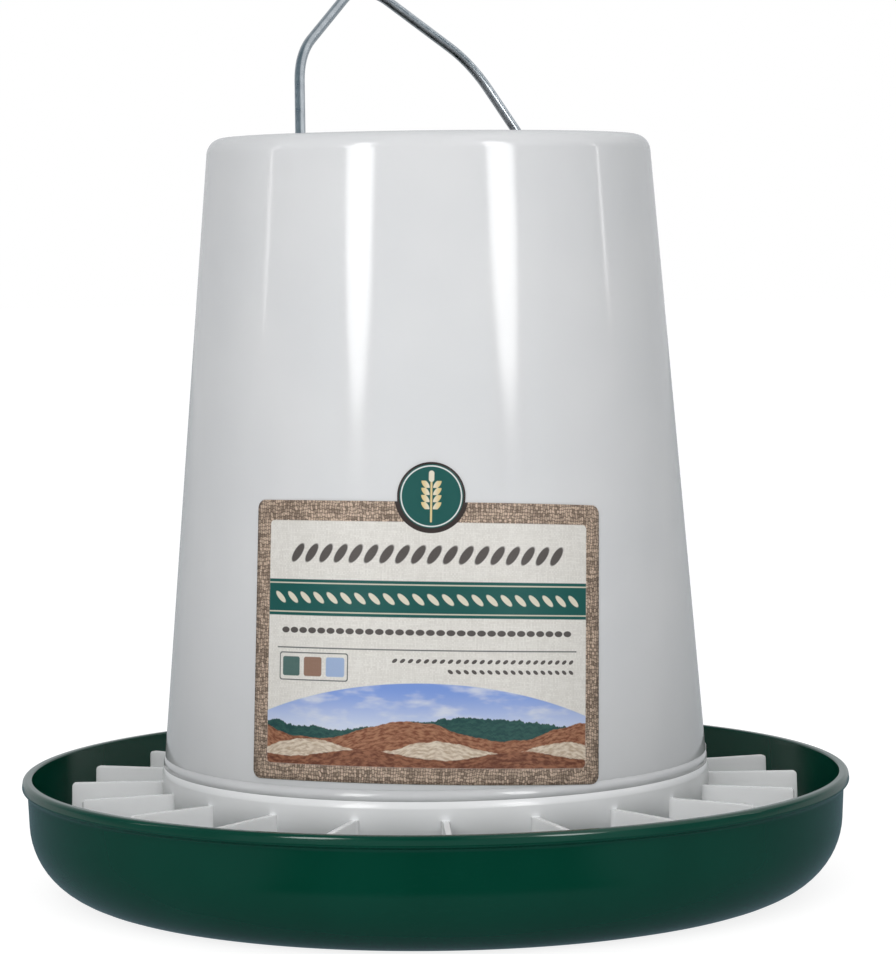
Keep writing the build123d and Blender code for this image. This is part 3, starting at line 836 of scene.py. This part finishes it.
        graph.feed(both.inputs[1], glow.outputs[0])
        output = material.node_tree.nodes["Material Output"]
        graph.feed(output.inputs["Surface"], both.outputs[0])
        floor.data.materials.append(material)

    def soft_box(self, name: str, turn: float, width: float, strength: float, effects: Effects) -> None:
        """A tall soft box that only shows in gloss, with a rounded lower end and soft edges.

        Args:
            name: the panel's name.
            turn: how far it stands from the camera's side, to the right, in radians.
            width: its width in metres.
            strength: its brightness, where 1 is white.
            effects: the shared groups.
        """
        out = np.array([np.sin(turn), -np.cos(turn), 0.0])
        across = np.array([np.cos(turn), np.sin(turn), 0.0])
        half = width / 2 + self.panel_margin
        low, high = self.box_low - self.panel_margin, self.box_high + self.panel_margin
        corners = np.array([
            out * self.box_distance + across * s * half + np.array([0.0, 0.0, z])
            for s, z in ((1, low), (-1, low), (-1, high), (1, high))
        ])
        panel = mesh_object(name, corners, np.array([[0, 1, 2, 3]]))
        layer = panel.data.uv_layers.new(name="panel")
        layer.data.foreach_set("uv", np.array([half, low, -half, low, -half, high, half, high], float))
        material, graph, shader = new_material(name)
        material.node_tree.nodes.remove(shader)
        spot = graph.add("ShaderNodeUVMap", uv_map="panel").outputs[0]
        tall = (self.box_high - self.box_low) / 2
        values = {"Vector": spot, "X": 0.0, "Y": self.box_low + tall, "Half X": width / 2,
                  "Half Y": tall, "Corner": width / 2, "Soft": self.edge_softness}
        mask = graph.place(effects.patch, **values).outputs["Mask"]
        glow = graph.add("ShaderNodeEmission")
        graph.feed(glow.inputs["Strength"], graph.calc(Op.MULTIPLY, mask, strength))
        graph.feed(material.node_tree.nodes["Material Output"].inputs["Surface"], glow.outputs[0])
        panel.data.materials.append(material)
        panel.visible_camera = False
        panel.visible_diffuse = False
        panel.visible_transmission = False
        panel.visible_shadow = False

    def lamp(self, side: Side, watts: float) -> None:
        """A large soft lamp beside a soft box, for the light alone: gloss doesn't show it."""
        data = bpy.data.lights.new(f"lamp_{side.name.lower()}", "AREA")
        data.energy = watts
        data.size = self.lamp_size
        lamp = bpy.data.objects.new(data.name, data)
        bpy.context.collection.objects.link(lamp)
        turn = self.lamp_turn * side.value
        place = Vector((np.sin(turn), -np.cos(turn), self.lamp_rise)) * self.box_distance
        aim = (-place + Vector((0.0, 0.0, self.lamp_aim))).to_track_quat("-Z", "Y")
        lamp.matrix_world = Matrix.Translation(place) @ aim.to_matrix().to_4x4()
        lamp.visible_glossy = False


def mesh_object(name: str, points: np.ndarray, faces: np.ndarray) -> bpy.types.Object:
    """Put whole arrays into a new mesh object at the origin.

    Args:
        name: the object's name.
        points: one row of x, y, z per vertex, in metres.
        faces: one row of vertex numbers per face, -1 where a row has a corner less.

    Returns:
        The new object.
    """
    mesh = bpy.data.meshes.new(name)
    rows = [tuple(int(i) for i in row if i >= 0) for row in faces]
    mesh.from_pydata(points.tolist(), [], rows)
    mesh.polygons.foreach_set("use_smooth", np.ones(len(rows), bool))
    mesh.update()
    obj = bpy.data.objects.new(name, mesh)
    bpy.context.collection.objects.link(obj)
    return obj


def rounded(corners: list[tuple[float, float, float]], steps: int = 10) -> np.ndarray:
    """A line through corners, each with a round of its own radius.

    A round of radius r between directions a and b starts r tan(half the turn) before the
    corner, and its points are the centre plus r times the turned start direction.

    Args:
        corners: rows of radius from the axis, height and round.
        steps: pieces in each round.

    Returns:
        One row of radius and height per point.
    """
    spots = np.array([row[:2] for row in corners], float)
    line = [spots[0]]
    for before, here, after, (_, _, round_) in zip(spots, spots[1:], spots[2:], corners[1:]):
        a = (here - before) / np.hypot(*(here - before))
        b = (after - here) / np.hypot(*(after - here))
        turn = np.arctan2(a[0] * b[1] - a[1] * b[0], a @ b)
        if round_ <= 0.0 or abs(turn) < 1e-6:
            line.append(here)
            continue
        normal = np.sign(turn) * np.array([-a[1], a[0]])
        centre = here - a * round_ * np.tan(abs(turn) / 2) + normal * round_
        share = np.linspace(0.0, abs(turn), steps + 1)[:, None]
        line.extend(centre + round_ * (np.sin(share) * a - np.cos(share) * normal))
    line.append(spots[-1])
    return np.array(line)


def spun(profile: np.ndarray, around: int, loop: bool) -> tuple[np.ndarray, np.ndarray]:
    """Turn a profile about Z. Its outside is on the left of its direction seen with Z up.

    Args:
        profile: rows of radius and height, in millimetres.
        around: steps around the axis.
        loop: whether the last point joins the first; otherwise both ends lie on the axis.

    Returns:
        The points in metres and the faces, -1 where a row has a corner less.
    """
    rows = profile if loop else profile[1:-1]
    turn = np.arange(around) * 2 * np.pi / around
    level = np.repeat(rows[:, 1:], around, axis=1)
    reach = rows[:, :1]
    grid = np.stack([reach * np.cos(turn), reach * np.sin(turn), level], axis=2).reshape(-1, 3)
    j = np.arange(around)
    after = (j + 1) % around
    count = len(rows)
    k = np.arange(count if loop else count - 1)[:, None]
    a, b = k * around, ((k + 1) % count) * around
    faces = [np.stack([a + j, b + j, b + after, a + after], axis=2).reshape(-1, 4)]
    if not loop:
        ends = np.array([[0.0, 0.0, profile[0, 1]], [0.0, 0.0, profile[-1, 1]]])
        top, bottom = len(grid), len(grid) + 1
        grid = np.vstack([grid, ends])
        last = (count - 1) * around
        none = np.full_like(j, -1)
        faces.append(np.stack([np.full_like(j, top), j, after, none], axis=1))
        faces.append(np.stack([np.full_like(j, bottom), last + after, last + j, none], axis=1))
    return grid * MM, np.vstack(faces)


def sector(inner: float, outer: float, middle: float, span: float, low: float, high: float,
           steps: int = 8) -> tuple[np.ndarray, np.ndarray]:
    """A closed block of a ring: a rectangle of radius and height carried along an arc.

    Args:
        inner: the inner radius in millimetres.
        outer: the outer radius.
        middle: the angle of the block's middle in degrees, from X towards Y.
        span: the angle that it spans.
        low: its lower height in millimetres.
        high: its upper height.
        steps: pieces of the arc.

    Returns:
        The points in metres and the faces.
    """
    turn = np.radians(middle + span * np.linspace(-0.5, 0.5, steps + 1))
    ring = np.array([(inner, low), (outer, low), (outer, high), (inner, high)])
    points = np.stack(
        [ring[None, :, 0] * np.cos(turn)[:, None], ring[None, :, 0] * np.sin(turn)[:, None],
         np.repeat(ring[None, :, 1], steps + 1, axis=0)], axis=2
    ).reshape(-1, 3)
    side = np.arange(4)
    following = (side + 1) % 4
    k = np.arange(steps)[:, None] * 4
    walls = np.stack([k + side, k + 4 + side, k + 4 + following, k + following], axis=2).reshape(-1, 4)
    ends = np.array([[0, 1, 2, 3], [4 * steps + 3, 4 * steps + 2, 4 * steps + 1, 4 * steps]])
    return points * MM, np.vstack([walls, ends])


@dataclass
class Hopper:
    """The tapered hopper of milky plastic: its cone carries the film, its foot flares to a bead."""

    base_radius: float = 102.3
    top_radius: float = 82.6
    base_height: float = 49.7
    top_height: float = 282.8
    foot_top: float = 51.6
    foot_widest: float = 49.3
    foot_bottom: float = 47.0
    foot_radius: float = 102.72
    foot_depth: float = 1.8
    foot_round: float = 2.0
    tuck: float = 0.03

    # The milky colour is darkened towards the pan as painted shade, to 0.93 of it below 0.04 m.
    finish: MouldedPlastic = MouldedPlastic(
        name="milky plastic", deep=(0.775, 0.785, 0.800), light=(0.800, 0.808, 0.820),
        roughness=0.10, gloss=0.5, waves=0.10, streaks=0.010, grain=0.0,
        scuff=0.05, scuff_colour=(0.9, 0.9, 0.9), scatter=0.35, low=0.04, high=0.20, shaded_bottom_tone=0.93,
    )

    def slant(self) -> float:
        """The wall's lean from upright, in radians."""
        return float(np.arctan2(self.base_radius - self.top_radius, self.top_height - self.base_height))

    def radius(self, height: np.ndarray) -> np.ndarray:
        """The cone's outer radius at a height, in a straight line from base to top."""
        share = (height - self.base_height) / (self.top_height - self.base_height)
        return self.base_radius + (self.top_radius - self.base_radius) * share

    def dress(self, effects: Effects) -> None:
        """Give the hopper its material and build the soft flare at its foot."""
        milky = self.finish.make(effects)
        dress_node("hopper", milky)
        self.foot(milky)

    def foot(self, milky: bpy.types.Material) -> bpy.types.Object:
        """The rounded foot: the wall flares to the bead and ends inside the ring's shoulder."""
        start = float(self.radius(np.array(self.foot_top))) - self.tuck
        inside = self.foot_radius - self.foot_depth
        line = rounded([
            (start, self.foot_top, 0.0),
            (self.foot_radius, self.foot_widest, self.foot_round),
            (self.foot_radius, self.foot_bottom, 0.0),
            (inside, self.foot_bottom, 0.0),
            (inside, self.foot_top, 0.0),
        ])
        foot = mesh_object("hopper_foot", *spun(line, AROUND, True))
        foot.data.materials.append(milky)
        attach(foot, "tube")
        return foot


@dataclass
class FinRing:
    """The white ring of feed-saver fins, with a rounded shoulder below the hopper's foot."""

    shoulder_top: float = 49.0
    shoulder_start: float = 102.4
    shoulder_level: float = 45.2
    shoulder_radius: float = 103.3
    shoulder_round: float = 1.5
    shoulder_bottom: float = 33.0
    shoulder_inside: float = 101.0

    finish: MouldedPlastic = MouldedPlastic(
        name="white ring plastic", deep=(0.880, 0.892, 0.902), light=(0.905, 0.913, 0.920),
        roughness=0.20, gloss=0.5, waves=0.06, streaks=0.01, grain=0.0,
        scuff=0.04, scuff_colour=(0.94, 0.94, 0.94), scatter=0.75,
    )
    # The shoulder wears a lighter copy of the ring's plastic without scatter: painted light that stands
    # in for the glow through the translucent ring.
    brightened_shoulder_finish: MouldedPlastic = MouldedPlastic(
        name="brightened shoulder plastic", deep=(0.930, 0.940, 0.950), light=(0.950, 0.958, 0.965),
        roughness=0.20, gloss=0.5, waves=0.06, streaks=0.01, grain=0.0,
        scuff=0.04, scuff_colour=(0.96, 0.96, 0.96),
    )

    def dress(self, effects: Effects) -> None:
        """Give the ring its material and build its shoulder."""
        white = self.finish.make(effects)
        dress_node("fin_ring", white)
        line = rounded([
            (self.shoulder_start, self.shoulder_top, 0.0),
            (self.shoulder_radius, self.shoulder_level, self.shoulder_round),
            (self.shoulder_radius, self.shoulder_bottom, 0.0),
            (self.shoulder_inside, self.shoulder_bottom, 0.0),
            (self.shoulder_inside, self.shoulder_top, 0.0),
        ])
        shoulder = mesh_object("ring_shoulder", *spun(line, AROUND, True))
        # The shoulder's lighter plastic is painted light.
        shoulder.data.materials.append(self.brightened_shoulder_finish.make(effects))
        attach(shoulder, "tube")


@dataclass
class FeedPan:
    """The dark green pan: a spun bowl with a rolled lip, a hollow feed cone and four keepers.

    The keepers' radii are inside, post and roof, and their heights are low end, roof and top.
    """

    wall: float = 2.2
    rim_radius: float = 153.9
    wall_lean: float = 1.7
    corner_round: float = 28.0
    height: float = 44.5
    lip_radius: float = 156.0
    lip_inner: float = 152.1
    lip_depth: float = 3.7
    lip_lean: float = 0.5
    lip_round: float = 1.6
    lip_under_round: float = 1.2
    lip_fall: float = 1.4
    lip_fall_round: float = 2.2
    rim_round: float = 0.7
    under_round: float = 0.6
    cone_base: float = 76.0
    cone_height: float = 50.0
    tip_round: float = 14.0
    foot_round: float = 5.0
    keepers: int = 4
    keeper_turn: float = 10.85
    keeper_span: float = 12.0
    keeper_radii: tuple[float, float, float] = (86.4, 89.0, 94.3)
    keeper_heights: tuple[float, float, float] = (1.1, 5.0, 7.4)
    stop_span: float = 1.6
    clear: float = 0.2
    tuck: float = 0.05
    tip_steps: int = 12
    round_steps: int = 16

    finish: MouldedPlastic = MouldedPlastic(
        name="green pan plastic", deep=(0.0002, 0.0470, 0.0275), light=(0.0003, 0.0520, 0.0310),
        roughness=0.14, gloss=0.5, waves=0.05, streaks=0.006, grain=0.0,
        scuff=0.12, scuff_colour=(0.010, 0.085, 0.062),
    )

    def profile(self) -> np.ndarray:
        """The pan's half section, from the cone's tip over the lip and back below the cone.

        The cone is a straight line that touches its tip's round: its slope is that of the line
        from the cone's foot to the round's centre, plus the arc sine of the round over the
        length of that line. Its underside is parallel to it, a wall's thickness away.
        """
        centre = self.cone_height - self.tip_round
        reach = np.hypot(self.cone_base, centre - self.wall)
        slope = np.arctan2(centre - self.wall, self.cone_base) + np.arcsin(self.tip_round / reach)
        hollow = self.tip_round - self.wall
        turn = np.linspace(0.0, slope, self.tip_steps + 1)
        tip = np.stack([self.tip_round * np.sin(turn), centre + self.tip_round * np.cos(turn)], axis=1)
        back = turn[::-1]
        under = np.stack([hollow * np.sin(back), centre + hollow * np.cos(back)], axis=1)
        foot = under[0, 0] + under[0, 1] / np.tan(slope)
        shoulder = self.rim_radius - self.wall_lean
        underside = self.height - self.lip_depth
        bowl = rounded([
            (*tip[-1], 0.0),
            (self.cone_base, self.wall, self.foot_round),
            (shoulder - self.wall, self.wall, self.corner_round - self.wall),
            (self.lip_inner, self.height, self.rim_round),
            (self.lip_radius - self.lip_lean, self.height, self.lip_round),
            (self.lip_radius, underside, self.lip_under_round),
            (self.rim_radius, underside - self.lip_fall, self.lip_fall_round),
            (shoulder, 0.0, self.corner_round),
            (foot, 0.0, self.under_round),
            (*under[0], 0.0),
        ], self.round_steps)
        return np.vstack([tip[:-1], bowl, under[1:]])

    def build(self, effects: Effects) -> bpy.types.Object:
        """Build the pan in place of its plain solid: the spun bowl, then a post, a stop and a
        roof per keeper.
        """
        points, faces = spun(self.profile(), AROUND, False)
        inner, outer, roof = self.keeper_radii
        low, under_roof, top = self.keeper_heights
        blocks = []
        for k in range(self.keepers):
            middle = self.keeper_turn + 360.0 / self.keepers * k
            stop = middle - self.keeper_span / 2 - self.clear - self.stop_span / 2
            cover = self.keeper_span + self.clear + self.stop_span - self.tuck
            below = top - self.tuck
            over = middle + (self.keeper_span - cover) / 2
            inside = inner + self.tuck
            blocks.append(sector(inside, outer, middle, self.keeper_span - self.clear, low, below))
            blocks.append(sector(inside, roof - self.tuck, stop, self.stop_span, low, below))
            blocks.append(sector(inner, roof, over, cover, under_roof, top))
        smooth = len(faces)
        for more, sides in blocks:
            faces = np.vstack([faces, sides + len(points)])
            points = np.vstack([points, more])
        pan = mesh_object("pan", points, faces)
        pan.data.polygons.foreach_set("use_smooth", np.arange(len(faces)) < smooth)
        pan.data.materials.append(self.finish.make(effects))
        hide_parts("feed_pan")
        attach(pan, "pan")
        return pan


@dataclass
class WireBail:
    """The bent wire that the feeder hangs by."""

    finish: GalvanisedWire = GalvanisedWire()

    def dress(self) -> None:
        """Give the wire its material."""
        dress_node("bail", self.finish.make())


@dataclass
class Film:
    """The printed film: a rounded rectangle with a round tab, wrapped on the hopper's cone.

    The back's UVs lie apart from the front's, in the map's free corner.
    """

    hopper: Hopper
    width: float = 131.6
    height: float = 99.1
    centre_height: float = 103.1
    shift: float = -3.2
    tilt: float = radians(-1.55)
    corner: float = 3.2
    tab_radius: float = 12.0
    tab_shift: float = 1.4
    tab_rise: float = 2.0
    lift: float = 0.13
    thickness: float = 0.17
    around: int = 1080
    rings: int = 40
    back_scale: float = 0.06
    back_place: tuple[float, float] = (0.03, 0.90)
    finish: PrintedFilm = PrintedFilm()

    def outline(self) -> np.ndarray:
        """The film's edge as the farthest point along each ray from its centre.

        A ray leaves the rounded rectangle at a distance found from its flat sides or its
        corner circle, and leaves the tab's circle at the larger root of a quadratic, and the
        edge is the larger of the two.

        Returns:
            One row of across and up per ray, in millimetres.
        """
        turn = np.arange(self.around) * 2 * np.pi / self.around
        ray = np.stack([np.cos(turn), np.sin(turn)], axis=1)
        half = np.array([self.width / 2, self.height / 2])
        flat = np.min(half / np.maximum(np.abs(ray), 1e-9), axis=1)
        centre = half - self.corner
        dot = np.abs(ray) @ centre
        inside = dot**2 - (centre @ centre) + self.corner**2
        curved = dot + np.sqrt(np.maximum(inside, 0.0))
        hit = np.abs(ray) * flat[:, None]
        in_corner = np.all(hit > centre, axis=1) & (inside > 0)
        box = np.where(in_corner, curved, flat)
        tab = np.array([self.tab_shift, self.height / 2 + self.tab_rise])
        dot = ray @ tab
        inside = dot**2 - tab @ tab + self.tab_radius**2
        disc = np.where(inside > 0, dot + np.sqrt(np.maximum(inside, 0.0)), 0.0)
        return ray * np.maximum(box, disc)[:, None]

    def wrapped(self, flat: np.ndarray, lift: float) -> np.ndarray:
        """Lay flat points on the cone.

        The flat sheet is turned by the tilt, then its polar coordinates about the cone's
        unrolled apex give the azimuth (angle over the sine of the slant) and the radius
        (distance times that sine). The lift is added along the wall's normal.

        Args:
            flat: rows of across and up, in millimetres.
            lift: height above the hopper's wall, in millimetres.

        Returns:
            Rows of x, y, z in metres.
        """
        hopper = self.hopper
        slant = hopper.slant()
        sine = np.sin(slant)
        apex = float(hopper.radius(np.array(self.centre_height))) / sine
        cos_t, sin_t = np.cos(self.tilt), np.sin(self.tilt)
        x = self.shift + flat[:, 0] * cos_t - flat[:, 1] * sin_t
        y = flat[:, 0] * sin_t + flat[:, 1] * cos_t
        azimuth = np.arctan2(x, apex - y) / sine
        radius = np.hypot(x, apex - y) * sine
        fall = (hopper.base_radius - radius) / (hopper.base_radius - hopper.top_radius)
        height = hopper.base_height + fall * (hopper.top_height - hopper.base_height)
        radius = radius + lift * np.cos(slant)
        height = height + lift * sine
        return np.stack([radius * np.sin(azimuth), -radius * np.cos(azimuth), height], axis=1) * MM

    def build(self, effects: Effects) -> bpy.types.Object:
        """Build the film as two wrapped sheets of rings around its centre, joined at the edge.

        A point of ring k on ray j is the edge point of the ray times k / rings.

        Args:
            effects: the shared groups.

        Returns:
            The film's object.
        """
        edge = self.outline()
        share = np.arange(1, self.rings + 1) / self.rings
        flat = (share[:, None, None] * edge[None, :, :]).reshape(-1, 2)
        flat = np.vstack([[[0.0, 0.0]], flat])
        front = self.wrapped(flat, self.lift + self.thickness)
        back = self.wrapped(flat, self.lift)
        count = len(flat)
        j = np.arange(self.around)
        after = (j + 1) % self.around
        fan = np.stack([np.zeros_like(j), 1 + j, 1 + after, np.full_like(j, -1)], axis=1)
        k = np.arange(self.rings - 1)[:, None] * self.around + 1
        a, b = k + j, k + after
        quads = np.stack([a, a + self.around, b + self.around, b], axis=2).reshape(-1, 4)
        sheet = np.vstack([fan, quads])
        under = np.where(sheet >= 0, sheet + count, -1)
        under = np.where(under[:, 3:] < 0, under[:, [0, 2, 1, 3]], under[:, ::-1])
        last = 1 + (self.rings - 1) * self.around
        rim = np.stack([last + j, last + j + count, last + after + count, last + after], axis=1)
        film = mesh_object("film", np.vstack([front, back]), np.vstack([sheet, under, rim]))
        uv = flat / self.finish.sheet + 0.5
        tucked = uv * self.back_scale + np.array(self.back_place)
        corner_uv = np.vstack([uv, tucked])
        loops = np.empty(len(film.data.loops), int)
        film.data.loops.foreach_get("vertex_index", loops)
        layer = film.data.uv_layers.new(name="film")
        layer.data.foreach_set("uv", corner_uv[loops].ravel())
        film.data.materials.append(self.finish.make(effects))
        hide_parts("label")
        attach(film, "tube")
        return film


def dress_node(name: str, material: bpy.types.Material) -> None:
    """Put one material into every slot of a frame node.

    Args:
        name: the node's name.
        material: its new material.
    """
    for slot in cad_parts[name].material_slots:
        slot.material = material
    log.info("%s wears %s", name, material.name)


def main() -> None:
    """Build and dress the feeder piece by piece."""
    logging.basicConfig(level=logging.INFO, format="%(message)s")
    effects = Effects()
    effects.build()
    Studio().build(effects)
    log.info("studio: camera, room, floor, two soft boxes, two strips and two lamps")
    hopper = Hopper()
    hopper.dress(effects)
    FinRing().dress(effects)
    pan = FeedPan().build(effects)
    log.info("%s: %d faces", pan.name, len(pan.data.polygons))
    WireBail().dress()
    film = Film(hopper).build(effects)
    log.info("%s: %d faces", film.name, len(film.data.polygons))


if __name__ == "__main__":
    main()
